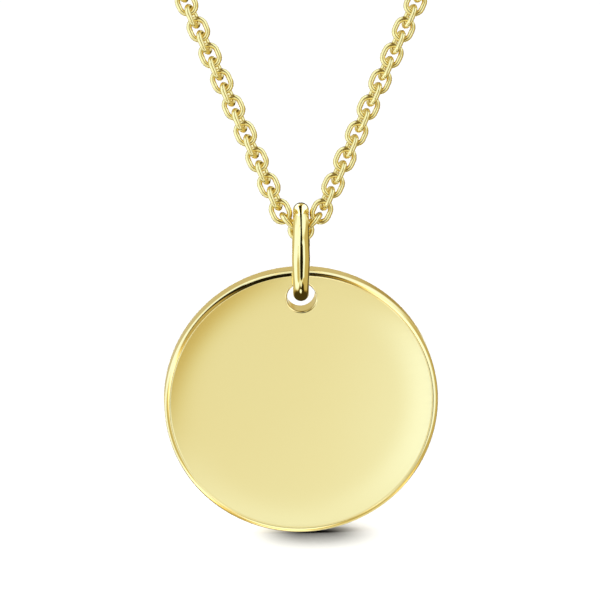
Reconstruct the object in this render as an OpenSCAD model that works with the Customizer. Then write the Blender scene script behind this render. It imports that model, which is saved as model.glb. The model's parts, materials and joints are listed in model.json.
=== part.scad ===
// Disc pendant necklace: a plain round disc on an oval bail, a cable chain and a clasp.
// Millimetres. +Z is up, the disc faces -Y, and the origin is at the nape, where it hangs.

/* [Disc] */
// Diameter of the disc
disc_d = 20; // [15:0.5:30]
// Thickness of the disc
disc_t = 1.7; // [1:0.1:2]
// Radius of the rounding along the disc's two edges
disc_edge = 0.25; // [0.1:0.05:0.4]
// Turn of the disc about an upright line, as it hangs
disc_turn = 3; // [0:1:6]
// Diameter of the hole near the rim
hole_d = 2.1; // [1.9:0.1:3]
// Radius of the rounding along the hole's two edges
hole_edge = 0.13; // [0.05:0.01:0.2]
// Metal left between the hole and the rim
hole_web = 0.95; // [0.7:0.05:1.5]

/* [Bail] */
// Diameter of the bail's wire round its two ends
bail_wire = 1.15; // [0.9:0.05:1.3]
// Diameter of the bail's wire half-way down its sides
bail_swell = 1.3; // [1:0.05:1.45]
// Inner radius of the bail's two ends
bail_r = 1.4; // [1.35:0.05:2]
// Length of the bail's straight sides
bail_side = 2.15; // [1.8:0.05:5]
// Clearance between the bail and what it hangs from or carries
bail_gap = 0.06; // [0.04:0.01:0.1]

/* [Chain] */
// Diameter of the chain's wire
link_wire = 0.39; // [0.3:0.01:0.42]
// Length left free in a link's eye by the wires of its two neighbours
link_play = 0.385; // [0.38:0.005:0.5]
// Width left free in a link's eye by the wire that passes through it
link_room = 0.41; // [0.36:0.01:0.5]
// Clearance between two links that pull on each other
link_gap = 0.13; // [0.12:0.01:0.15]
// Turn of every second link away from square to its neighbours
link_turn = 20; // [0:1:20]
// Links in each strand, from the one above the pendant's pair
strand_links = 48; // [20:1:60]
// Angle of each strand from the upright
strand_angle = 24.3; // [20:0.1:30]
// Angle from the upright of the two links beside the bail
pair_angle = 46; // [44:1:56]
// Turn of the two links beside the bail
pair_turn = 10; // [0:1:14]
// Height by which their pull raises those two links in the middle link's eye
pair_rise = 0.05; // [0:0.01:0.06]
// Lean of the two strands towards the neck
front_lean = 16; // [0:1:25]

/* [Worn loop] */
// Height of the nape above the middle link, which carries the bail
drop = 130; // [120:1:140]
// Distance of the middle link in front of the nape
reach = 100; // [90:1:110]

/* [Clasp] */
// Outer diameter of the clasp's ring
clasp_d = 5.4; // [4.5:0.1:7]
// Diameter of the wire of the clasp's ring
clasp_wire = 1; // [0.8:0.05:1.4]
// Outer diameter of the clasp's small eye
eye_d = 2; // [1.6:0.1:2.6]
// Diameter of the wire of the clasp's small eye
eye_wire = 0.5; // [0.4:0.05:0.6]

/* [Hidden] */
$fn = 48;
gold = [0.86, 0.76, 0.42];
pale_gold = [0.94, 0.88, 0.6];

// Turns of a link about its length that show its eye or its edge from the front, and the
// lean that lays it flat
face_on = 0;
edge_on = -90;
level = 90;

// The hole's middle lies this far above the disc's middle
hole_rise = disc_d / 2 - hole_web - hole_d / 2;

// The bail's lower end rests in the hole, against the rounded lower edges of the web
web_y = disc_t / 2 - hole_edge;
web_z = hole_d / 2 + hole_edge;
bail_reach = bail_r - hole_edge - bail_gap;
lower_rise = web_z + sqrt(bail_reach * bail_reach - web_y * web_y);

// A link: the radius of its round ends, from its middle to the wire at its end, its straight
// sides, and the step from one link to the next
end_r = link_wire + link_room / 2;
half_l = (3 * link_wire + link_play) / 2;
straight_l = 2 * (half_l - end_r);
link_step = 2 * link_wire + link_play - link_gap;
bite = link_step - half_l;
link_w = 2 * end_r + link_wire;
link_l = 2 * half_l + link_wire;

// Places, as x and height in the plane of the two strands, from the middle link
pair_dir = [sin(pair_angle), cos(pair_angle)];
strand_dir = [sin(strand_angle), cos(strand_angle)];
hook_pos = [bite, pair_rise];
pair_pos = hook_pos + half_l * pair_dir;
strand_pos = hook_pos + 2 * half_l * pair_dir + bite * strand_dir;
strand_top = strand_pos + ((strand_links - 1) * link_step + link_l / 2 + link_gap) * strand_dir;

// Places in the part's own frame
middle_pos = [0, -reach, -drop];
upper_z = middle_pos.z + link_w / 2 + bail_gap - bail_r;
lower_z = upper_z - bail_side;
hole_z = lower_z - lower_rise;

// A place in the plane of the strands, put in the part's frame
function on_plane(p) =
    middle_pos + [p.x, p.y * sin(front_lean), p.y * cos(front_lean)];

// Round the neck from the top of a strand to the nape
chain_route = [
    [30, -82, -68],
    [38, -77, -51],
    [46, -71, -35],
    [53, -59, -22],
    [55, -41, -13],
    [46, -21, -7],
    [31, -8, -3],
    [15, -2, -1],
];
route_top = on_plane(strand_top);
ring_end = clasp_d / 2 + link_gap;
eye_x = (clasp_d + eye_d - eye_wire - clasp_wire / 2) / 2;
eye_end = eye_x + eye_d / 2 + link_gap;
lead = 14;
rings_per_span = 4;
tube_sides = 8;
// A direction that no stretch of the route runs along
tube_ref = [1, 1, 0];

// The route to a clasp end at x, with a point before its first and one past its last
function route_to(x) = concat(
    [route_top - lead * (on_plane(strand_dir) - middle_pos), route_top],
    chain_route,
    [[x, 0, 0], [x - lead, 0, 0]]
);

// A point on the smooth curve through four points, from the second at t = 0 to the third
function curve_at(p, i, t) =
    let (a = p[i - 1], b = p[i], c = p[i + 1], d = p[i + 2])
    b + (c - a) * t / 2
    + (2 * a - 5 * b + 4 * c - d) * t * t / 2
    + (3 * b - a - 3 * c + d) * t * t * t / 2;

// Its direction there
function curve_dir(p, i, t) =
    let (a = p[i - 1], b = p[i], c = p[i + 1], d = p[i + 2])
    let (v = (c - a) / 2 + (2 * a - 5 * b + 4 * c - d) * t + (3 * b - a - 3 * c + d) * t * t * 3 / 2)
    v / norm(v);

// One ring of a tube's corners round a point, square to a direction
function tube_ring(pos, dir, r, sides) =
    let (u = cross(dir, tube_ref), side = u / norm(u), up = cross(side, dir))
    [for (k = [0:sides - 1]) pos + r * (cos(360 * k / sides) * side + sin(360 * k / sides) * up)];

// A wire bent round a half circle, upwards in the XZ plane
module half_ring(r, wire) {
    rotate([90, 0, 0])
        rotate_extrude(angle = 180)
            translate([r, 0])
                circle(d = wire);
}

// A closed round ring of wire in the XZ plane
module full_ring(outer_d, wire) {
    rotate([90, 0, 0])
        rotate_extrude()
            translate([(outer_d - wire) / 2, 0])
                circle(d = wire);
}

// One soldered oval link, long along Z, its eye facing Y
module link() {
    for (end = [0, 1])
        mirror([0, 0, end])
            translate([0, 0, straight_l / 2])
                half_ring(end_r, link_wire, $fn = 24);
    for (side = [-1, 1])
        translate([side * end_r, 0, 0])
            cylinder(d = link_wire, h = straight_l, center = true, $fn = 24);
}

// A link at a place in the plane of the strands, leaning by an angle and turned about itself
module placed_link(pos, angle, turn) {
    translate([pos.x, 0, pos.y])
        rotate([0, angle, 0])
            rotate([0, 0, turn])
                link();
}

// The links of the right-hand strand, from the one beside the bail upwards
module strand() {
    placed_link(pair_pos, pair_angle, edge_on + pair_turn);
    for (k = [0:strand_links - 1])
        placed_link(strand_pos + k * link_step * strand_dir, strand_angle,
                    k % 2 == 0 ? face_on : edge_on + link_turn);
}

// A tube along a route, one polyhedron swept ring by ring
module tube(route, d) {
    spans = len(route) - 3;
    stations = [
        for (i = [1:spans], k = [0:rings_per_span - 1]) [i, k / rings_per_span],
        [spans, 1],
    ];
    rings = [
        for (s = stations)
            tube_ring(curve_at(route, s[0], s[1]), curve_dir(route, s[0], s[1]), d / 2, tube_sides)
    ];
    points = [for (ring = rings) for (corner = ring) corner];
    last = len(rings) - 1;
    sides = [
        for (i = [0:last - 1], k = [0:tube_sides - 1])
            let (a = i * tube_sides + k, b = i * tube_sides + (k + 1) % tube_sides)
            [a, b, b + tube_sides, a + tube_sides]
    ];
    near_end = [for (k = [tube_sides - 1:-1:0]) k];
    far_end = [for (k = [0:tube_sides - 1]) last * tube_sides + k];
    polyhedron(points, concat(sides, [near_end, far_end]), convexity = 8);
}

// Half the outline of a round plate with rounded edges, out from its axis
module plate_half(r, t, edge) {
    translate([0, edge - t / 2])
        square([r, t - 2 * edge]);
    translate([0, -t / 2])
        square([r - edge, t]);
    for (side = [-1, 1])
        translate([r - edge, side * (t / 2 - edge)])
            circle(r = edge);
}

// Half the outline of a drill that rounds the hole's two edges too
module drill_half(r, t, edge) {
    difference() {
        translate([0, -t])
            square([r + edge, 2 * t]);
        translate([r + edge, 0])
            square([2 * edge, t - 2 * edge], center = true);
        for (side = [-1, 1])
            translate([r + edge, side * (t / 2 - edge)])
                circle(r = edge);
    }
}

// The disc: a flat round plate, its edges rounded, with one hole near the rim
module disc() {
    color(gold)
        translate([0, middle_pos.y, hole_z])
            rotate([90, 0, disc_turn])
                difference() {
                    translate([0, -hole_rise, 0])
                        rotate_extrude()
                            plate_half(disc_d / 2, disc_t, disc_edge);
                    rotate_extrude()
                        drill_half(hole_d / 2, disc_t, hole_edge);
                }
}

// The bail: an oval of round wire, front to back, its sides swollen half-way down
module bail() {
    wire_r = bail_r + bail_wire / 2;
    color(pale_gold)
        translate([0, middle_pos.y, (upper_z + lower_z) / 2])
            rotate([0, 0, 90]) {
                for (end = [0, 1])
                    mirror([0, 0, end])
                        translate([0, 0, bail_side / 2])
                            half_ring(wire_r, bail_wire);
                for (side = [-1, 1], end = [0, 1])
                    translate([side * wire_r, 0, 0])
                        mirror([0, 0, end])
                            cylinder(d1 = bail_swell, d2 = bail_wire, h = bail_side / 2);
            }
}

// The chain's two front strands and the middle link that carries the bail
module chain_front() {
    color(pale_gold)
        translate(middle_pos)
            rotate([-front_lean, 0, 0]) {
                placed_link([0, 0], level, face_on);
                for (side = [0, 1])
                    mirror([side, 0, 0])
                        strand();
            }
}

// The rest of the chain, one stretch on each side of the neck
module chain_back() {
    color(pale_gold) {
        tube(route_to(ring_end), link_w);
        mirror([1, 0, 0])
            tube(route_to(eye_end), link_w);
    }
}

// The clasp: a plain ring with a small eye, at the nape
module clasp() {
    color(pale_gold) {
        full_ring(clasp_d, clasp_wire);
        translate([-eye_x, 0, 0])
            full_ring(eye_d, eye_wire);
    }
}

disc();
bail();
chain_front();
chain_back();
clasp();
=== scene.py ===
"""Disc pendant necklace: a polished gold disc on an oval bail, a cable chain and a clasp."""

import json
import math

import bpy
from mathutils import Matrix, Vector


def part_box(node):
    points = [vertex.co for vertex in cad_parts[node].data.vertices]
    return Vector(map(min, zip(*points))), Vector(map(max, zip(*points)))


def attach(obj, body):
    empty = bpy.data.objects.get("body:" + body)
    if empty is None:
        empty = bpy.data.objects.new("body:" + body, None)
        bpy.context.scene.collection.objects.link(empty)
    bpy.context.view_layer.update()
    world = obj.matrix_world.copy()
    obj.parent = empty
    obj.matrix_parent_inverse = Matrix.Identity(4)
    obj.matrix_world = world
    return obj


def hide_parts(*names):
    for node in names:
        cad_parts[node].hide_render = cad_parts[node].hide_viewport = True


bl_info = {
    "name": "Disc pendant necklace",
    "version": (1, 0, 0),
    "blender": (4, 5, 0),
    "location": "View3D > Sidebar > Necklace",
    "description": "Makes a gold disc pendant on a cable chain, and a studio to show it in",
    "category": "Object",
}

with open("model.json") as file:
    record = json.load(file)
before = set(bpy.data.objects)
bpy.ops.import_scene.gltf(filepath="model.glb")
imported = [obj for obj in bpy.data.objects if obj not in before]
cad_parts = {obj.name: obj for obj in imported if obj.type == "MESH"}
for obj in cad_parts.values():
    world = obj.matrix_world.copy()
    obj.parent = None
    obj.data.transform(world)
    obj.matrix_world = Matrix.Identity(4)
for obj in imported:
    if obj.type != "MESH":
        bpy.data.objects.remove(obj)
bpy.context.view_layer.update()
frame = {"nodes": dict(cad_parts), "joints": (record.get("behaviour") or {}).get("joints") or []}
MM = 0.001

# Places that the frame gives, in metres
JOINTS = {joint["name"]: joint for joint in frame["joints"]}
MIDDLE_LINK = Vector(JOINTS["bail_swing"]["pos_m"])
HOLE = Vector(JOINTS["disc_swing"]["pos_m"])
DISC_FACING = Vector(JOINTS["disc_swing"]["axis"])
DISC_LOW, DISC_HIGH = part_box("disc")
DISC_MIDDLE = (DISC_LOW + DISC_HIGH) / 2
BAIL_LOW, BAIL_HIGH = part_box("bail")
BAIL_MIDDLE = (BAIL_LOW + BAIL_HIGH) / 2
UP = Vector((0, 0, 1))

# How finely the meshes are made: the disc's columns round its hole, and the points round a wire
# oval and across its wire
DISC_COLUMNS = 320
BAIL_POINTS = (240, 48)
FRONT_LINK_POINTS = (32, 14)
BACK_LINK_POINTS = (16, 8)
# The buffed gold: how its colour changes in the warmer patches, and how fine the polishing lines
# are, how far they are drawn out and how they slant
PATCH_WARMTH = (1, 0.975, 0.93)
LINE_SCALE = 900
LINE_STRETCH = 9
LINE_SLANT = math.radians(35)

# The chain's route round the neck on the right, in millimetres, from the top of a strand
CHAIN_ROUTE = [
    (30, -82, -68),
    (38, -77, -51),
    (46, -71, -35),
    (53, -59, -22),
    (55, -41, -13),
    (46, -21, -7),
    (31, -8, -3),
    (15, -2, -1),
]


class DiscSizes(bpy.types.PropertyGroup):
    diameter: bpy.props.FloatProperty(
        name="Diameter",
        description="Across the disc",
        default=DISC_HIGH.z - DISC_LOW.z,
        unit="LENGTH",
    )
    thickness: bpy.props.FloatProperty(
        name="Thickness",
        description="Through the disc",
        default=1.7 * MM,
        unit="LENGTH",
    )
    edge: bpy.props.FloatProperty(
        name="Edge",
        description="Depth of the rounding along the disc's edges",
        default=0.25 * MM,
        unit="LENGTH",
    )
    edge_reach: bpy.props.FloatProperty(
        name="Edge reach",
        description="Width of that rounding on the disc's faces, which polishing drew out",
        default=0.5 * MM,
        unit="LENGTH",
    )
    hole: bpy.props.FloatProperty(
        name="Hole",
        description="Diameter of the hole",
        default=2.1 * MM,
        unit="LENGTH",
    )
    hole_edge: bpy.props.FloatProperty(
        name="Hole edge",
        description="Radius of the rounding along the hole's edges",
        default=0.13 * MM,
        unit="LENGTH",
    )
    roll_off: bpy.props.FloatProperty(
        name="Roll-off",
        description="Slope that polishing gave the faces where they meet the edge",
        default=math.radians(4.5),
        subtype="ANGLE",
    )
    roll_width: bpy.props.FloatProperty(
        name="Roll-off width",
        description="Width of the band that polishing sloped, in from the edge",
        default=2.95 * MM,
        unit="LENGTH",
    )


class BailSizes(bpy.types.PropertyGroup):
    wire: bpy.props.FloatProperty(
        name="Wire",
        description="Diameter of the wire round the bail's ends",
        default=1.15 * MM,
        unit="LENGTH",
    )
    swell: bpy.props.FloatProperty(
        name="Swell",
        description="Diameter of the wire half-way down the bail's sides",
        default=1.3 * MM,
        unit="LENGTH",
    )
    side: bpy.props.FloatProperty(
        name="Side",
        description="Length of the bail's straight sides",
        default=2.15 * MM,
        unit="LENGTH",
    )


class ChainSizes(bpy.types.PropertyGroup):
    wire: bpy.props.FloatProperty(
        name="Wire",
        description="Diameter of the links' wire",
        default=0.39 * MM,
        unit="LENGTH",
    )
    end_radius: bpy.props.FloatProperty(
        name="End radius",
        description="Radius of a link's round ends, to the middle of its wire",
        default=0.595 * MM,
        unit="LENGTH",
    )
    side: bpy.props.FloatProperty(
        name="Side",
        description="Length of a link's straight sides",
        default=0.365 * MM,
        unit="LENGTH",
    )
    step: bpy.props.FloatProperty(
        name="Step",
        description="From one link's middle to the next link's",
        default=1.035 * MM,
        unit="LENGTH",
    )
    strand_links: bpy.props.IntProperty(
        name="Strand links",
        description="Links in each straight strand, above the pair beside the bail",
        default=48,
    )
    strand_angle: bpy.props.FloatProperty(
        name="Strand angle",
        description="Angle of each strand from the upright",
        default=math.radians(24.3),
        subtype="ANGLE",
    )
    pair_angle: bpy.props.FloatProperty(
        name="Pair angle",
        description="Angle from the upright of the two links beside the bail",
        default=math.radians(46),
        subtype="ANGLE",
    )
    pair_turn: bpy.props.FloatProperty(
        name="Pair turn",
        description="Turn of the two links beside the bail from edge-on",
        default=math.radians(10),
        subtype="ANGLE",
    )
    pair_rise: bpy.props.FloatProperty(
        name="Pair rise",
        description="Height by which their pull raises those two links in the middle link's eye",
        default=0.05 * MM,
        unit="LENGTH",
    )
    link_turn: bpy.props.FloatProperty(
        name="Link turn",
        description="Turn of every second link from edge-on",
        default=math.radians(20),
        subtype="ANGLE",
    )
    lean: bpy.props.FloatProperty(
        name="Lean",
        description="Lean of the two strands towards the neck",
        default=math.radians(16),
        subtype="ANGLE",
    )
    end_link: bpy.props.FloatProperty(
        name="End link",
        description="Size of the link on the clasp's ring, against the other links",
        default=1.6,
    )
    gap: bpy.props.FloatProperty(
        name="Gap",
        description="Clearance between a link and what it hooks",
        default=0.13 * MM,
        unit="LENGTH",
    )


class ClaspSizes(bpy.types.PropertyGroup):
    ring_wire: bpy.props.FloatProperty(
        name="Ring wire",
        description="Diameter of the wire of the clasp's ring",
        default=1 * MM,
        unit="LENGTH",
    )
    eye_wire: bpy.props.FloatProperty(
        name="Eye wire",
        description="Diameter of the wire of the clasp's small eye",
        default=0.5 * MM,
        unit="LENGTH",
    )


class GoldColours(bpy.types.PropertyGroup):
    disc: bpy.props.FloatVectorProperty(
        name="Disc",
        description="Colour of the disc's polished gold",
        default=(0.90, 0.72, 0.30),
        subtype="COLOR",
    )
    wire: bpy.props.FloatVectorProperty(
        name="Wire",
        description="Colour of the polished gold of the bail, the chain and the clasp",
        default=(0.92, 0.755, 0.30),
        subtype="COLOR",
    )


class StudioSizes(bpy.types.PropertyGroup):
    elevation: bpy.props.FloatProperty(
        name="Elevation",
        description="Angle of the camera above the horizon",
        default=math.radians(16.35),
        subtype="ANGLE",
    )
    distance: bpy.props.FloatProperty(
        name="Distance",
        description="From the camera to the pendant",
        default=500 * MM,
        unit="LENGTH",
    )
    view_width: bpy.props.FloatProperty(
        name="View width",
        description="Width that the camera sees at the pendant",
        default=43.85 * MM,
        unit="LENGTH",
    )
    aim_rise: bpy.props.FloatProperty(
        name="Aim rise",
        description="The view's middle above the disc's middle, as the camera sees it",
        default=7.27 * MM,
        unit="LENGTH",
    )
    aim_side: bpy.props.FloatProperty(
        name="Aim side",
        description="The view's middle to the right of the disc's middle",
        default=-0.07 * MM,
        unit="LENGTH",
    )
    floor_gap: bpy.props.FloatProperty(
        name="Floor gap",
        description="From the floor up to the disc's lowest point",
        default=0.05 * MM,
        unit="LENGTH",
    )


def add_node(tree, kind, inputs=None, **settings):
    """Adds a node, with its settings, and its inputs given as values or as other nodes' outputs."""
    node = tree.nodes.new(kind)
    for name, value in settings.items():
        setattr(node, name, value)
    for key, value in (inputs or {}).items():
        if isinstance(value, bpy.types.NodeSocket):
            tree.links.new(value, node.inputs[key])
        else:
            node.inputs[key].default_value = value
    return node


def math_node(tree, operation, *values):
    """What one operation makes of numbers, given as values or as other nodes' outputs."""
    node = add_node(tree, "ShaderNodeMath", dict(enumerate(values)), operation=operation)
    return node.outputs[0]


def vector_node(tree, operation, result, *values):
    """The Vector or the Value that one operation makes of vectors."""
    node = add_node(tree, "ShaderNodeVectorMath", dict(enumerate(values)), operation=operation)
    return node.outputs[result]


def range_node(tree, value, before, after=(0.0, 1.0), ramp="LINEAR"):
    """A value carried over from the range before to the range after, and held at its ends."""
    ends = dict(zip(("From Min", "From Max", "To Min", "To Max"), (*before, *after)))
    node = add_node(
        tree, "ShaderNodeMapRange", {"Value": value, **ends}, interpolation_type=ramp
    )
    return node.outputs["Result"]


def blend_node(tree, share, first, second):
    """A number between two others, by the share of the second."""
    inputs = {"Factor": share, 2: first, 3: second}
    return add_node(tree, "ShaderNodeMix", inputs, data_type="FLOAT").outputs[0]


def polished_gold(name, colour, roughness, wave_height, wave_length):
    """Yellow gold from the buffing wheel: a mirror with faint waves, fine lines and a soft haze."""
    material = bpy.data.materials.new(name)
    material.use_nodes = True
    material.diffuse_color = (*colour, 1)
    tree = material.node_tree
    shader = tree.nodes["Principled BSDF"]
    shader.inputs["Metallic"].default_value = 1
    place = add_node(tree, "ShaderNodeTexCoord").outputs["Object"]

    # Colour: the alloy shows a little warmer in soft patches
    patches = add_node(
        tree,
        "ShaderNodeTexNoise",
        {"Vector": place, "Scale": 0.6 / wave_length, "Detail": 1.0},
    )
    warm = [value * share for value, share in zip(colour, PATCH_WARMTH)]
    tint = add_node(
        tree,
        "ShaderNodeMix",
        {"Factor": patches.outputs["Fac"], 6: (*colour, 1), 7: (*warm, 1)},
        data_type="RGBA",
    )
    tree.links.new(tint.outputs[2], shader.inputs["Base Color"])

    # Roughness: fine polishing lines that catch the light unevenly
    stretch = add_node(
        tree,
        "ShaderNodeMapping",
        {"Vector": place, "Rotation": (0, LINE_SLANT, 0), "Scale": (1, 1, LINE_STRETCH)},
    )
    lines = add_node(
        tree,
        "ShaderNodeTexNoise",
        {
            "Vector": stretch.outputs["Vector"],
            "Scale": LINE_SCALE,
            "Detail": 3.0,
            "Roughness": 0.6,
        },
    )
    haze_range = (roughness * 0.8, roughness * 1.2)
    haze = range_node(tree, lines.outputs["Fac"], (0.3, 0.7), haze_range)
    tree.links.new(haze, shader.inputs["Roughness"])

    # Bump: the slow waves that buffing leaves
    waves = add_node(
        tree,
        "ShaderNodeTexNoise",
        {"Vector": place, "Scale": 1 / wave_length, "Detail": 0.0},
    )
    bump = add_node(
        tree,
        "ShaderNodeBump",
        {"Height": waves.outputs["Fac"], "Distance": wave_height, "Strength": 1.0},
    )
    tree.links.new(bump.outputs["Normal"], shader.inputs["Normal"])
    return material


def disc_gold():
    """The disc's gold, the flattest mirror of the four."""
    colour = tuple(bpy.context.scene.gold_colours.disc)
    return polished_gold(
        "polished_disc", colour, roughness=0.10, wave_height=1.6e-6, wave_length=5 * MM
    )


def wire_gold(name, roughness=0.09):
    """The gold of the bail, the chain and the clasp."""
    colour = tuple(bpy.context.scene.gold_colours.wire)
    return polished_gold(name, colour, roughness, wave_height=1.0e-6, wave_length=1.2 * MM)


def add_mesh(name, points, faces):
    """A smooth mesh object in the scene, from its points and faces."""
    mesh = bpy.data.meshes.new(name)
    mesh.from_pydata(points, [], faces)
    mesh.shade_smooth()
    piece = bpy.data.objects.new(name, mesh)
    bpy.context.scene.collection.objects.link(piece)
    return piece


def keep_result(piece):
    """Swaps a piece's modifiers for the plain mesh that they make."""
    seen = piece.evaluated_get(bpy.context.evaluated_depsgraph_get())
    mesh = bpy.data.meshes.new_from_object(seen)
    piece.modifiers.clear()
    piece.data = mesh
    mesh.name = piece.name
    return piece


def arc(first, last, count):
    """Angles from first to last, count of them, with both ends."""
    return [first + (last - first) * k / (count - 1) for k in range(count)]


def eased(count):
    """Shares from 0 to 1, closer together towards both ends."""
    return [(1 - math.cos(math.pi * k / (count - 1))) / 2 for k in range(count)]


def edge_start(sizes):
    """Angle along the edge's oval rounding where its slope is the face's slope."""
    return math.atan(math.tan(sizes.roll_off) * sizes.edge_reach / sizes.edge)


def disc_profile(sizes):
    """Half of one column's outline, from the middle of the hole's wall to the middle of the rim.

    Each entry is the kind of place, a number along it and the height above the disc's middle.
    The heights along the face are worked out for each column."""
    half = sizes.thickness / 2
    slope = sizes.roll_off
    wall = [("hole", 0.0, half * share) for share in (0.0, 0.4, 0.75)]
    lip_middle = half - sizes.hole_edge
    lip = [
        ("hole", sizes.hole_edge * (1 - math.cos(a)), lip_middle + sizes.hole_edge * math.sin(a))
        for a in arc(0, math.pi / 2, 7)
    ]
    face = [("face", share, None) for share in eased(44)[1:-1]]
    first = edge_start(sizes)
    edge_drop = slope * sizes.roll_width / 3
    edge_middle = half - edge_drop - sizes.edge * math.cos(first)
    edge = [
        ("rim", sizes.edge_reach * (1 - math.sin(a)), edge_middle + sizes.edge * math.cos(a))
        for a in arc(first, math.pi / 2, 12)
    ]
    rim = [("rim", 0.0, half * share) for share in (0.6, 0.3)]
    return wall + lip + face + edge + rim


def face_height(sizes, radius):
    """Height of the face above the disc's middle, at a radius from the disc's axis."""
    start = sizes.diameter / 2 - sizes.edge_reach - sizes.roll_width
    into = max(radius - start, 0) / sizes.roll_width
    return sizes.thickness / 2 - sizes.roll_off * sizes.roll_width * into**3 / 3


def disc_points(sizes, columns):
    """Closed columns of points, fanned out round the hole and closed through the disc."""
    rise = (HOLE - DISC_MIDDLE).length
    reach = sizes.diameter / 2
    face_reach = reach - sizes.edge_reach * (1 - math.sin(edge_start(sizes)))
    lip_reach = sizes.hole / 2 + sizes.hole_edge
    across = DISC_FACING.cross(UP)
    front = disc_profile(sizes)
    outline = [(*entry, 1) for entry in front] + [(*entry, -1) for entry in front[:0:-1]]
    points = []
    for column in range(columns):
        angle = 2 * math.pi * column / columns
        ray = Vector((math.cos(angle), math.sin(angle)))
        along = -ray.y * rise
        to_rim = along + math.sqrt(along**2 + face_reach**2 - rise**2)
        out = (Vector((0, rise)) + ray * to_rim).normalized()
        for kind, where, height, side in outline:
            if kind == "hole":
                flat = Vector((0, rise)) + ray * (sizes.hole / 2 + where)
            elif kind == "rim":
                flat = out * (reach - where)
            else:
                flat = Vector((0, rise)) + ray * (lip_reach + (to_rim - lip_reach) * where)
                height = face_height(sizes, flat.length)
            place = DISC_MIDDLE + across * flat.x + UP * flat.y + DISC_FACING * side * height
            points.append(place)
    return points, len(outline)


def grid_faces(columns, rows):
    """Faces of a grid that closes on itself both ways."""
    faces = []
    for column in range(columns):
        following = (column + 1) % columns
        for row in range(rows):
            above = (row + 1) % rows
            faces.append(
                (
                    column * rows + row,
                    following * rows + row,
                    following * rows + above,
                    column * rows + above,
                )
            )
    return faces


# The inputs that the wire ovals' node trees share, with the kind of each
OVAL_LENGTHS = {"End radius": "Float", "Side": "Float", "Wire": "Float"}
OVAL_COUNTS = {"Points round": "Int", "Points across": "Int"}
OVAL_GOLD = {"Gold": "Material"}
# What a guide's points say of their links: the direction along a link and out of its eye, its
# turn about its length and its size
GUIDE_ATTRIBUTES = {
    "along": "FLOAT_VECTOR",
    "facing": "FLOAT_VECTOR",
    "turn": "FLOAT",
    "size": "FLOAT",
}


def new_tree(name, inputs, output):
    """A geometry node tree with its inputs and one output, and what the inputs give."""
    tree = bpy.data.node_groups.new(name, "GeometryNodeTree")
    for label, kind in inputs.items():
        tree.interface.new_socket(label, in_out="INPUT", socket_type="NodeSocket" + kind)
    tree.interface.new_socket(output, in_out="OUTPUT", socket_type="NodeSocketGeometry")
    return tree, add_node(tree, "NodeGroupInput").outputs


def make_oval_tree():
    """Geometry nodes that bend wire into an oval in the XZ plane, swollen half-way down."""
    inputs = OVAL_LENGTHS | {"Swell": "Float"} | OVAL_COUNTS | OVAL_GOLD
    tree, given = new_tree("Wire oval", inputs, "Mesh")
    circle = add_node(
        tree,
        "GeometryNodeCurvePrimitiveCircle",
        {"Resolution": 128, "Radius": given["End radius"]},
        mode="RADIUS",
    )

    # The circle's upper and lower halves move apart by the side, over a narrow band between them
    place = add_node(tree, "GeometryNodeInputPosition").outputs["Position"]
    parts = add_node(tree, "ShaderNodeSeparateXYZ", {"Vector": place}).outputs
    half_side = math_node(tree, "MULTIPLY", given["Side"], 0.5)
    less = math_node(tree, "MULTIPLY", half_side, -1.0)
    band = math_node(tree, "MULTIPLY", given["End radius"], 0.02)
    under = math_node(tree, "MULTIPLY", band, -1.0)
    shift = range_node(tree, parts["Y"], (under, band), (less, half_side))
    height = math_node(tree, "ADD", parts["Y"], shift)
    stood = add_node(tree, "ShaderNodeCombineXYZ", {"X": parts["X"], "Z": height}).outputs[0]
    oval = add_node(
        tree,
        "GeometryNodeSetPosition",
        {"Geometry": circle.outputs["Curve"], "Position": stood},
    )
    even = add_node(
        tree,
        "GeometryNodeResampleCurve",
        {"Curve": oval.outputs["Geometry"], "Count": given["Points round"]},
        mode="COUNT",
    )

    # The wire's radius falls smoothly from the swell to the plain wire of the ends
    away = math_node(tree, "ABSOLUTE", parts["Z"])
    reach = math_node(tree, "MULTIPLY_ADD", given["End radius"], 0.4, half_side)
    thin = math_node(tree, "MULTIPLY", given["Wire"], 0.5)
    thick = math_node(tree, "MULTIPLY", given["Swell"], 0.5)
    radius = range_node(tree, away, (0.0, reach), (thick, thin), "SMOOTHSTEP")
    section = add_node(
        tree,
        "GeometryNodeCurvePrimitiveCircle",
        {"Resolution": given["Points across"], "Radius": 1.0},
        mode="RADIUS",
    )
    wire = add_node(
        tree,
        "GeometryNodeCurveToMesh",
        {
            "Curve": even.outputs["Curve"],
            "Profile Curve": section.outputs["Curve"],
            "Scale": radius,
        },
    )
    smooth = add_node(tree, "GeometryNodeSetShadeSmooth", {"Geometry": wire.outputs["Mesh"]})
    golden = add_node(
        tree,
        "GeometryNodeSetMaterial",
        {"Geometry": smooth.outputs["Geometry"], "Material": given["Gold"]},
    )
    add_node(tree, "NodeGroupOutput", {"Mesh": golden.outputs["Geometry"]})
    return tree


def add_oval(tree, inputs):
    """A wire oval's mesh in another node tree. Its own tree is made once."""
    oval_tree = bpy.data.node_groups.get("Wire oval") or make_oval_tree()
    return add_node(tree, "GeometryNodeGroup", inputs, node_tree=oval_tree).outputs["Mesh"]


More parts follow.
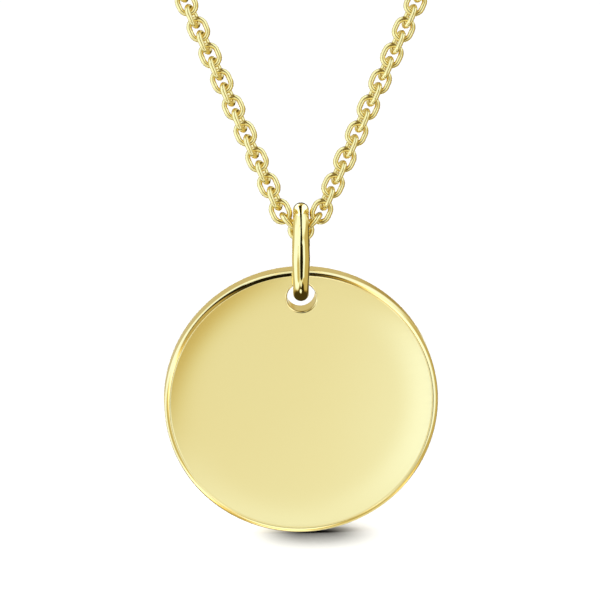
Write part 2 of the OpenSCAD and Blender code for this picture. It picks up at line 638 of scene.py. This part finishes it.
def make_link_tree():
    """Geometry nodes that put a wire link on each point of a guide, as its attributes say."""
    inputs = {"Guide": "Geometry"} | OVAL_LENGTHS | OVAL_COUNTS | OVAL_GOLD
    tree, given = new_tree("Row of links", inputs, "Links")
    shared = {name: given[name] for name in (*OVAL_LENGTHS, *OVAL_COUNTS, *OVAL_GOLD)}
    link = add_oval(tree, shared | {"Swell": given["Wire"]})
    guide = {
        name: add_node(
            tree, "GeometryNodeInputNamedAttribute", {"Name": name}, data_type=kind
        ).outputs["Attribute"]
        for name, kind in GUIDE_ATTRIBUTES.items()
    }
    stance = add_node(
        tree,
        "FunctionNodeAxesToRotation",
        {"Primary Axis": guide["along"], "Secondary Axis": guide["facing"]},
        primary_axis="Z",
        secondary_axis="Y",
    )
    turn = add_node(
        tree, "FunctionNodeAxisAngleToRotation", {"Axis": (0, 0, 1), "Angle": guide["turn"]}
    )
    turned = add_node(
        tree,
        "FunctionNodeRotateRotation",
        {"Rotation": stance.outputs["Rotation"], "Rotate By": turn.outputs["Rotation"]},
        rotation_space="LOCAL",
    )
    placed = add_node(
        tree,
        "GeometryNodeInstanceOnPoints",
        {
            "Points": given["Guide"],
            "Instance": link,
            "Rotation": turned.outputs["Rotation"],
            "Scale": guide["size"],
        },
    )
    real = add_node(
        tree, "GeometryNodeRealizeInstances", {"Geometry": placed.outputs["Instances"]}
    )
    add_node(tree, "NodeGroupOutput", {"Links": real.outputs["Geometry"]})
    return tree


def make_bail_tree():
    """Geometry nodes that stand one wire oval at a place, front to back."""
    inputs = {"Geometry": "Geometry"} | OVAL_LENGTHS | {"Swell": "Float", "Place": "Vector"}
    tree, given = new_tree("Bail", inputs | OVAL_GOLD, "Bail")
    shared = {name: given[name] for name in (*OVAL_LENGTHS, "Swell", *OVAL_GOLD)}
    oval = add_oval(tree, shared | dict(zip(OVAL_COUNTS, BAIL_POINTS)))
    stood = add_node(
        tree,
        "GeometryNodeTransform",
        {
            "Geometry": oval,
            "Translation": given["Place"],
            "Rotation": (0, 0, math.pi / 2),
        },
    )
    add_node(tree, "NodeGroupOutput", {"Bail": stood.outputs["Geometry"]})
    return tree


def run_nodes(piece, tree, values):
    """Runs a node tree on a piece, with its inputs set by name, and keeps the mesh."""
    modifier = piece.modifiers.new(tree.name, "NODES")
    modifier.node_group = tree
    for item in tree.interface.items_tree:
        if item.in_out == "INPUT" and item.name in values:
            modifier[item.identifier] = values[item.name]
    return keep_result(piece)


def on_plane(sizes, across, up):
    """A place in the plane of the two strands, from the middle link."""
    lean = sizes.lean
    return MIDDLE_LINK + Vector((across, up * math.sin(lean), up * math.cos(lean)))


def plane_direction(sizes, angle):
    """A direction in the plane of the two strands, at an angle from the upright."""
    return on_plane(sizes, math.sin(angle), math.cos(angle)) - MIDDLE_LINK


def strand_starts(sizes):
    """Places of the first pair link and the first strand link on the right, in the strands' plane."""
    half = sizes.end_radius + sizes.side / 2
    bite = sizes.step - half
    pair = Vector((math.sin(sizes.pair_angle), math.cos(sizes.pair_angle)))
    strand = Vector((math.sin(sizes.strand_angle), math.cos(sizes.strand_angle)))
    start = Vector((bite, sizes.pair_rise))
    return start + half * pair, start + 2 * half * pair + bite * strand, strand


def front_guide(sizes):
    """Where the front links stand: the middle link, then each strand from the bail upwards."""
    facing = Vector((0, math.cos(sizes.lean), -math.sin(sizes.lean)))
    quarter = math.pi / 2
    pair, first, strand = strand_starts(sizes)
    rows = [(MIDDLE_LINK, Vector((1, 0, 0)), facing, 0, 1)]
    right = [(pair, sizes.pair_angle, sizes.pair_turn - quarter)]
    for k in range(sizes.strand_links):
        turn = 0 if k % 2 == 0 else sizes.link_turn - quarter
        right.append((first + k * sizes.step * strand, sizes.strand_angle, turn))
    for flip in (1, -1):
        for spot, angle, turn in right:
            place = on_plane(sizes, flip * spot.x, spot.y)
            along = plane_direction(sizes, flip * angle)
            rows.append((place, along, facing, flip * turn, 1))
    return rows


def smooth_curve(points, per_span):
    """Points along the smooth curve through a route, without its first and last point."""
    curve = []
    for a, b, c, d in zip(points, points[1:], points[2:], points[3:]):
        for k in range(per_span):
            t = k / per_span
            curve.append(
                b
                + (c - a) * t / 2
                + (2 * a - 5 * b + 4 * c - d) * t**2 / 2
                + (3 * b - a - 3 * c + d) * t**3 / 2
            )
    curve.append(points[-2])
    return curve


def even_places(curve, count):
    """count places along a curve, the same length apart, with the direction at each."""
    lengths = [0]
    for a, b in zip(curve, curve[1:]):
        lengths.append(lengths[-1] + (b - a).length)
    places = []
    index = 0
    for k in range(count):
        wanted = lengths[-1] * k / (count - 1)
        while index < len(curve) - 2 and lengths[index + 1] < wanted:
            index += 1
        span = curve[index + 1] - curve[index]
        share = (wanted - lengths[index]) / span.length
        places.append((curve[index] + span * share, span.normalized()))
    return places


def carried_facings(places, first):
    """A facing direction for each place, carried along the curve without twist."""
    facings = []
    facing = first
    for _, along in places:
        facing = (facing - facing.dot(along) * along).normalized()
        facings.append(facing)
    return facings


def back_guide(sizes, clasp, flip):
    """Where the links of one side's back stretch stand, from the top of the strand to the clasp."""
    half = sizes.end_radius + sizes.side / 2
    inner = sizes.wire / 2 + sizes.gap
    low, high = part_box("clasp")
    rows = []
    if flip > 0:
        # An end link, larger than the rest, hooks the clasp's ring on the right
        ring_inside = high.x - clasp.ring_wire
        end_wire = sizes.end_link * sizes.wire / 2
        end_middle = ring_inside - sizes.gap - end_wire + half * sizes.end_link
        last_x = end_middle + half * sizes.end_link - end_wire - inner + half
        rows.append(
            (Vector((end_middle, 0, 0)), Vector((-1, 0, 0)), UP, 0, sizes.end_link)
        )
    else:
        eye_inside = -low.x - clasp.eye_wire
        last_x = eye_inside - inner + half

    _, first, strand = strand_starts(sizes)
    top = first + sizes.strand_links * sizes.step * strand
    start = on_plane(sizes, top.x, top.y)
    lead = 14 * MM
    route = [start - lead * plane_direction(sizes, sizes.strand_angle), start]
    route += [Vector(point) * MM for point in CHAIN_ROUTE]
    route += [Vector((last_x, 0, 0)), Vector((last_x - lead, 0, 0))]
    curve = smooth_curve(route, per_span=40)
    length = sum((b - a).length for a, b in zip(curve, curve[1:]))
    count = round(length / sizes.step) + 1
    wanted_even = flip > 0
    if ((sizes.strand_links + count) % 2 == 1) != wanted_even:
        count -= 1
    places = even_places(curve, count)
    facings = carried_facings(places, Vector((0, math.cos(sizes.lean), -math.sin(sizes.lean))))

    # The last link faces along Y on the clasp's ring side, so the links twist evenly until then
    miss = facings[-1].cross(Vector((0, 1, 0))).dot(places[-1][1])
    twist = math.asin(max(-1, min(1, miss)))
    for k, ((place, along), facing) in enumerate(zip(places, facings)):
        turn = twist * k / (count - 1)
        if (sizes.strand_links + k) % 2 == 1:
            turn += sizes.link_turn - math.pi / 2
        mirror = Vector((flip, 1, 1))
        rows.append((place * mirror, along * mirror, facing * mirror, flip * turn, 1))
    return rows


def guide_object(name, rows):
    """A mesh of loose points that says where each link stands and how."""
    mesh = bpy.data.meshes.new(name)
    mesh.from_pydata([row[0] for row in rows], [], [])
    for index, (attribute, kind) in enumerate(GUIDE_ATTRIBUTES.items(), start=1):
        layer = mesh.attributes.new(attribute, kind, "POINT")
        if kind == "FLOAT_VECTOR":
            layer.data.foreach_set("vector", [value for row in rows for value in row[index]])
        else:
            layer.data.foreach_set("value", [row[index] for row in rows])
    guide = bpy.data.objects.new(name, mesh)
    bpy.context.scene.collection.objects.link(guide)
    return guide


def make_links(name, rows, wire_points):
    """One mesh of all the links on a guide."""
    sizes = bpy.context.scene.chain_sizes
    tree = bpy.data.node_groups.get("Row of links") or make_link_tree()
    gold = bpy.data.materials.get("polished_chain") or wire_gold("polished_chain", 0.15)
    values = {
        "End radius": sizes.end_radius,
        "Side": sizes.side,
        "Wire": sizes.wire,
        "Gold": gold,
        **dict(zip(OVAL_COUNTS, wire_points)),
    }
    links = run_nodes(guide_object(name, rows), tree, values)
    for attribute in GUIDE_ATTRIBUTES:
        links.data.attributes.remove(links.data.attributes[attribute])
    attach(links, "chain")
    return links


class NecklaceOperator:
    bl_options = {"REGISTER", "UNDO"}


class NECKLACE_OT_disc(NecklaceOperator, bpy.types.Operator):
    """Make the polished disc with its rounded edges and hole"""

    bl_idname = "necklace.make_disc"
    bl_label = "Disc"

    def execute(self, context):
        points, rows = disc_points(context.scene.disc_sizes, DISC_COLUMNS)
        disc = add_mesh("disc_polished", points, grid_faces(DISC_COLUMNS, rows))
        disc.data.materials.append(disc_gold())
        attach(disc, "disc")
        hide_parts("disc")
        return {"FINISHED"}


class NECKLACE_OT_bail(NecklaceOperator, bpy.types.Operator):
    """Make the oval bail, its wire swollen half-way down"""

    bl_idname = "necklace.make_bail"
    bl_label = "Bail"

    def execute(self, context):
        sizes = context.scene.bail_sizes
        tall = BAIL_HIGH.z - BAIL_LOW.z
        values = {
            "End radius": (tall - sizes.side - sizes.wire) / 2,
            "Side": sizes.side,
            "Wire": sizes.wire,
            "Swell": sizes.swell,
            "Place": BAIL_MIDDLE,
            "Gold": wire_gold("polished_bail"),
        }
        bail = add_mesh("bail_polished", [], [])
        run_nodes(bail, make_bail_tree(), values)
        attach(bail, "bail")
        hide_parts("bail")
        return {"FINISHED"}


class NECKLACE_OT_front_links(NecklaceOperator, bpy.types.Operator):
    """Make the links of the two front strands and the middle link"""

    bl_idname = "necklace.make_front_links"
    bl_label = "Front links"

    def execute(self, context):
        rows = front_guide(context.scene.chain_sizes)
        links = make_links("front_links", rows, FRONT_LINK_POINTS)
        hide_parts("chain_front")
        return {"FINISHED"}


class NECKLACE_OT_back_links(NecklaceOperator, bpy.types.Operator):
    """Make the links round the neck, up to the clasp"""

    bl_idname = "necklace.make_back_links"
    bl_label = "Back links"

    def execute(self, context):
        sizes = context.scene.chain_sizes
        clasp = context.scene.clasp_sizes
        rows = back_guide(sizes, clasp, 1) + back_guide(sizes, clasp, -1)
        links = make_links("back_links", rows, BACK_LINK_POINTS)
        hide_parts("chain_back")
        return {"FINISHED"}


class NECKLACE_OT_clasp(NecklaceOperator, bpy.types.Operator):
    """Give the clasp its polished gold"""

    bl_idname = "necklace.finish_clasp"
    bl_label = "Clasp"

    def execute(self, context):
        clasp = frame["nodes"]["clasp"]
        clasp.data.materials.clear()
        clasp.data.materials.append(wire_gold("polished_clasp"))
        return {"FINISHED"}


# Soft panels of light and dark flags round the studio: where each stands as azimuth from the
# front and elevation, how far its full part and its soft rim reach, and its brightness.
# All are in degrees but the brightness, and later ones lie over earlier ones.
STUDIO_PANELS = [
    (180, 6, 22, 40, 0.455),
    (0, -90, 40, 54, 0.01),
    (-62, -10, 38, 60, 0.98),
    (88, -14, 36, 50, 0.42),
    (34, -8, 14, 24, 0.98),
    (-40, 60, 30, 50, 1.00),
    (45, 62, 30, 50, 0.98),
    (140, -16, 12, 26, 0.06),
    (-10, 24, 28, 36, 0.0),
    (8, -16, 16, 22, 0.0),
    (-36, -26, 9, 22, 0.45),
    (44, -36, 5, 12, 0.4),
    (-146, -14, 34, 46, 0.45),
    (180, -62, 34, 46, 0.04),
    (2, -48, 6, 14, 0.85),
    (-10, -76, 6, 13, 0.95),
    (180, -3, 11, 17, 0.0),
]
STUDIO_BASE = 0.66
# The dark strip in front, from low down to past overhead: its azimuth, its two ends'
# elevations, how far its full part and its soft rim reach to either side, and half the length
# of its soft ends
DARK_STRIP = (6, -34, 150, 9, 13, 6)
# From the disc's middle to each soft light, in metres
LIGHT_DISTANCE = 0.3
# The pieces that each soft light reaches, and the soft patches that two lights share
DISC = ["disc_polished"]
BAIL = ["bail_polished"]
LINKS = ["front_links", "back_links"]
UPPER_PATCHES = [(-10, 24, 28, 36, 0.98)]
CHAIN_PATCHES = [(-10, 24, 28, 36, 0.66), (8, -16, 16, 22, 0.64)]
# Large soft lights, each with its name, its pieces, its panel, its own patches and the
# brightness of the dark strip in it, or None where the strip doesn't show. A panel here is
# azimuth and elevation, half the angle filled to its sides and upwards, and brightness.
SOFT_LIGHTS = [
    (
        "front",
        DISC,
        (6, -22, 13.5, 19.2, 0.645),
        [
            (20, -20, 2, 14.5, 0.98),
            (-9, -6, 2, 17, 0.44),
            (6, -36, 4, 20, 0.78),
            (6, -44, 8, 16, 0.0),
        ],
        None,
    ),
    ("edge_left", DISC, (-20, 0, 14, 24, 0.0), [(-26, 0, 14, 22, 0.395)], None),
    ("edge_right", DISC, (26, 12, 16, 26, 0.0), [(30, 10, 12, 22, 0.36)], None),
    ("top", DISC, (0, 84, 26, 44, 0.0), [(-10, 24, 28, 36, 0.75)], 0.75),
    ("below", DISC, (6, -77, 42, 29, 0.42), [(100, -66, 16, 34, 0.62)], None),
    (
        "back",
        DISC,
        (174, -24, 26, 38, 0.0),
        [
            (172, -50, 16, 24, 0.48),
            (152, -46, 8, 22, 0.62),
            (180, -3, 11, 17, 0.455),
            (175, -26, 12, 18, 0.6),
        ],
        None,
    ),
    ("upper_left", BAIL, (-28, 22, 18, 34, 0.0), UPPER_PATCHES, 0.0),
    ("upper_right", BAIL, (41, 22, 18, 34, 0.0), UPPER_PATCHES, 0.0),
    ("behind_left", BAIL, (-150, 40, 22, 34, 0.95), [], 0.0),
    ("behind_right", BAIL, (156, 40, 12, 34, 0.9), [], 0.0),
    ("chain", LINKS, (-4, 6, 36, 46, 0.0), CHAIN_PATCHES, 0.14),
    ("chain_top", LINKS, (6, 98, 24, 46, 0.0), CHAIN_PATCHES, 0.14),
    ("chain_below", LINKS, (178, -62, 34, 34, 0.5), [], None),
]
# What a brightness from 0 to 1 looks like: dark flags are warm, full panels are cool white
PANEL_COLOURS = [
    (0.0, (0.010, 0.008, 0.001)),
    (0.32, (0.44, 0.33, 0.10)),
    (0.47, (0.70, 0.66, 0.44)),
    (0.58, (0.83, 0.89, 0.85)),
    (0.66, (0.915, 1.02, 1.17)),
    (0.80, (1.02, 1.21, 1.62)),
    (1.0, (1.13, 1.40, 2.10)),
]


def toward(azimuth, elevation):
    """A direction from the pendant, azimuth 0 at the front and 90 at the right, in degrees."""
    turn = math.radians(azimuth)
    rise = math.radians(elevation)
    return Vector(
        (math.sin(turn) * math.cos(rise), -math.cos(turn) * math.cos(rise), math.sin(rise))
    )


def strip_share(tree, way):
    """Nodes for how much of the dark strip lies along a direction, from 0 to 1."""
    azimuth, low, high, full, soft, soft_end = DARK_STRIP
    aside = vector_node(tree, "DOT_PRODUCT", "Value", way, toward(azimuth + 90, 0))
    sides = [math.sin(math.radians(angle)) for angle in (soft, full)]
    across = range_node(tree, math_node(tree, "ABSOLUTE", aside), sides, ramp="SMOOTHERSTEP")
    middle = vector_node(tree, "DOT_PRODUCT", "Value", way, toward(azimuth, (low + high) / 2))
    half = (high - low) / 2
    ends = [math.cos(math.radians(angle)) for angle in (half + soft_end, half - soft_end)]
    return math_node(tree, "MULTIPLY", across, range_node(tree, middle, ends))


def panel_light(tree, way, panels, base, strip_level):
    """Nodes for the light of soft panels seen along a direction: its colour and its strength.

    With a level for the strip, that level shows along it in place of the panels."""
    brightness = base
    for azimuth, elevation, full, soft, level in panels:
        facing = vector_node(tree, "DOT_PRODUCT", "Value", way, toward(azimuth, elevation))
        rim = [math.cos(math.radians(angle)) for angle in (soft, full)]
        share = range_node(tree, facing, rim, ramp="SMOOTHERSTEP")
        brightness = blend_node(tree, share, brightness, level)
    if strip_level is not None:
        brightness = blend_node(tree, strip_share(tree, way), brightness, strip_level)
    ramp = add_node(tree, "ShaderNodeValToRGB", {"Fac": brightness})
    stops = ramp.color_ramp.elements
    while len(stops) < len(PANEL_COLOURS):
        stops.new(0.5)
    brightest = max(max(colour) for _, colour in PANEL_COLOURS)
    for stop, (where, colour) in zip(stops, PANEL_COLOURS):
        stop.position = where
        stop.color = (*[value / brightest for value in colour], 1)
    return {"Color": ramp.outputs["Color"], "Strength": brightest}


def studio_world():
    """A world of soft panels for the gold to mirror, behind a plain white surround."""
    world = bpy.data.worlds.new("studio")
    world.use_nodes = True
    world.cycles_visibility.diffuse = False
    tree = world.node_tree
    tree.nodes.clear()
    way = add_node(tree, "ShaderNodeTexCoord").outputs["Generated"]
    panels = panel_light(tree, way, STUDIO_PANELS, STUDIO_BASE, 0.0)
    mirrored = add_node(tree, "ShaderNodeBackground", panels)
    surround = add_node(tree, "ShaderNodeBackground", {"Color": (1, 1, 1, 1), "Strength": 1.2})
    path = add_node(tree, "ShaderNodeLightPath")
    both = add_node(
        tree,
        "ShaderNodeMixShader",
        {0: path.outputs["Is Camera Ray"], 1: mirrored.outputs[0], 2: surround.outputs[0]},
    )
    add_node(tree, "ShaderNodeOutputWorld", {"Surface": both.outputs[0]})
    bpy.context.scene.world = world


def light_only(light, lit_pieces):
    """Keeps a light to some pieces."""
    lit = bpy.data.collections.new(light.name)
    for piece in lit_pieces:
        lit.objects.link(bpy.data.objects[piece])
    light.light_linking.receiver_collection = lit


def make_soft_light(name, lit_pieces, panel, patches, strip_level):
    """A large soft light that only some pieces catch, with soft patches of its own."""
    azimuth, elevation, half_width, half_height, level = panel
    data = bpy.data.lights.new(name, "AREA")
    data.shape = "RECTANGLE"
    data.size = 2 * LIGHT_DISTANCE * math.tan(math.radians(half_width))
    data.size_y = 2 * LIGHT_DISTANCE * math.tan(math.radians(half_height))
    # The power that gives each point of the light the brightness of its own nodes
    data.energy = math.pi * data.size * data.size_y
    data.use_nodes = True
    tree = data.node_tree
    tree.nodes.clear()
    place = add_node(tree, "ShaderNodeNewGeometry").outputs["Position"]
    offset = vector_node(tree, "SUBTRACT", "Vector", place, DISC_MIDDLE)
    way = vector_node(tree, "NORMALIZE", "Vector", offset)
    panels = panel_light(tree, way, patches, level, strip_level)
    glow = add_node(tree, "ShaderNodeEmission", panels)
    add_node(tree, "ShaderNodeOutputLight", {"Surface": glow.outputs[0]})
    light = bpy.data.objects.new(name, data)
    direction = toward(azimuth, elevation)
    light.location = DISC_MIDDLE + direction * LIGHT_DISTANCE
    light.rotation_euler = direction.to_track_quat("Z", "Y").to_euler()
    light.visible_camera = False
    bpy.context.scene.collection.objects.link(light)
    light_only(light, lit_pieces)


def floor_white_painted_shadow():
    """White paper with a painted contact shadow: its colour darkens where the disc nearly touches it.
    """
    nearness = 5 * MM
    shadow_middle = (1.2 * MM, DISC_LOW.y, DISC_LOW.z)
    shadow_core = 1 * MM
    shadow_reach = 6 * MM
    material = bpy.data.materials.new("floor_white_painted_shadow")
    material.use_nodes = True
    tree = material.node_tree
    tree.nodes.clear()
    # Painted shadow: the paper's colour darkens by ambient occlusion from nearby things, only inside
    # a fixed spot under the disc's rest place
    near = add_node(tree, "ShaderNodeAmbientOcclusion", {"Distance": nearness}, samples=16)
    closeness = range_node(tree, near.outputs["AO"], (1.0, 0.42))
    shade = math_node(tree, "POWER", closeness, 0.8)
    place = add_node(tree, "ShaderNodeTexCoord").outputs["Object"]
    out = vector_node(tree, "DISTANCE", "Value", place, shadow_middle)
    inside = range_node(tree, out, (shadow_reach, shadow_core), ramp="SMOOTHSTEP")
    dark = math_node(tree, "MULTIPLY", shade, inside)
    left = math_node(tree, "SUBTRACT", 1.0, dark)
    paper = add_node(tree, "ShaderNodeBsdfDiffuse", {"Color": left})
    add_node(tree, "ShaderNodeOutputMaterial", {"Surface": paper.outputs[0]})
    return material


def make_floor(height):
    """A wide white floor, which the gold doesn't mirror."""
    reach = 3.0
    corners = [(-reach, -reach), (reach, -reach), (reach, reach), (-reach, reach)]
    floor = add_mesh("floor", [(x, y, height) for x, y in corners], [(0, 1, 2, 3)])
    floor.data.materials.append(floor_white_painted_shadow())
    floor.visible_glossy = False
    floor.visible_shadow = False


def make_floor_light():
    """An even light from straight above, which lights the floor alone."""
    data = bpy.data.lights.new("overhead", "SUN")
    data.energy = 3.3
    data.use_shadow = False
    light = bpy.data.objects.new("overhead", data)
    light.location = (0, 0, 0.2)
    bpy.context.scene.collection.objects.link(light)
    light_only(light, ["floor"])


def make_camera(sizes):
    """A long lens that looks down at the pendant from the front."""
    back = toward(0, math.degrees(sizes.elevation))
    picture_up = Vector((0, math.sin(sizes.elevation), math.cos(sizes.elevation)))
    aim = DISC_MIDDLE + picture_up * sizes.aim_rise + Vector((sizes.aim_side, 0, 0))
    data = bpy.data.cameras.new("camera")
    data.sensor_width = 36
    data.lens = data.sensor_width * sizes.distance / sizes.view_width
    data.clip_start = 0.01
    data.clip_end = 20
    camera = bpy.data.objects.new("camera", data)
    camera.location = aim + back * sizes.distance
    camera.rotation_euler = (math.pi / 2 - sizes.elevation, 0, 0)
    bpy.context.scene.collection.objects.link(camera)
    bpy.context.scene.camera = camera


class NECKLACE_OT_stage(NecklaceOperator, bpy.types.Operator):
    """Set up the floor, the studio's light and the camera"""

    bl_idname = "necklace.make_stage"
    bl_label = "Stage"

    def execute(self, context):
        sizes = context.scene.studio_sizes
        make_floor(DISC_LOW.z - sizes.floor_gap)
        make_floor_light()
        # The bail's lower end mirrors the studio's dark ground, and not the disc close behind it
        bpy.data.objects["disc_polished"].visible_glossy = False
        for soft_light in SOFT_LIGHTS:
            make_soft_light(*soft_light)
        studio_world()
        make_camera(sizes)
        context.scene.view_settings.view_transform = "Standard"
        return {"FINISHED"}


class NECKLACE_PT_panel(bpy.types.Panel):
    """Lists the necklace's pieces and their sizes"""

    bl_label = "Disc pendant necklace"
    bl_idname = "NECKLACE_PT_panel"
    bl_space_type = "VIEW_3D"
    bl_region_type = "UI"
    bl_category = "Necklace"

    def draw(self, context):
        for group, operators in PANEL_ROWS:
            box = self.layout.box()
            for operator in operators:
                box.operator(operator.bl_idname)
            sizes = getattr(context.scene, group)
            for name in sizes.bl_rna.properties.keys():
                if name not in ("rna_type", "name"):
                    box.prop(sizes, name)


SIZE_GROUPS = {
    "disc_sizes": DiscSizes,
    "bail_sizes": BailSizes,
    "chain_sizes": ChainSizes,
    "clasp_sizes": ClaspSizes,
    "gold_colours": GoldColours,
    "studio_sizes": StudioSizes,
}
PANEL_ROWS = [
    ("disc_sizes", [NECKLACE_OT_disc]),
    ("bail_sizes", [NECKLACE_OT_bail]),
    ("chain_sizes", [NECKLACE_OT_front_links, NECKLACE_OT_back_links]),
    ("clasp_sizes", [NECKLACE_OT_clasp]),
    ("gold_colours", []),
    ("studio_sizes", [NECKLACE_OT_stage]),
]


def register():
    """Registers the sizes, the operators and the panel."""
    for name, group in SIZE_GROUPS.items():
        bpy.utils.register_class(group)
        setattr(bpy.types.Scene, name, bpy.props.PointerProperty(type=group))
    for _, operators in PANEL_ROWS:
        for operator in operators:
            bpy.utils.register_class(operator)
    bpy.utils.register_class(NECKLACE_PT_panel)


def unregister():
    """Removes the panel, the operators and the sizes."""
    bpy.utils.unregister_class(NECKLACE_PT_panel)
    for _, operators in PANEL_ROWS:
        for operator in operators:
            bpy.utils.unregister_class(operator)
    for name, group in SIZE_GROUPS.items():
        delattr(bpy.types.Scene, name)
        bpy.utils.unregister_class(group)


def main():
    """Makes every piece and the stage."""
    register()
    bpy.ops.necklace.make_disc()
    bpy.ops.necklace.make_bail()
    bpy.ops.necklace.make_front_links()
    bpy.ops.necklace.make_back_links()
    bpy.ops.necklace.finish_clasp()
    bpy.ops.necklace.make_stage()


if __name__ == "__main__":
    main()
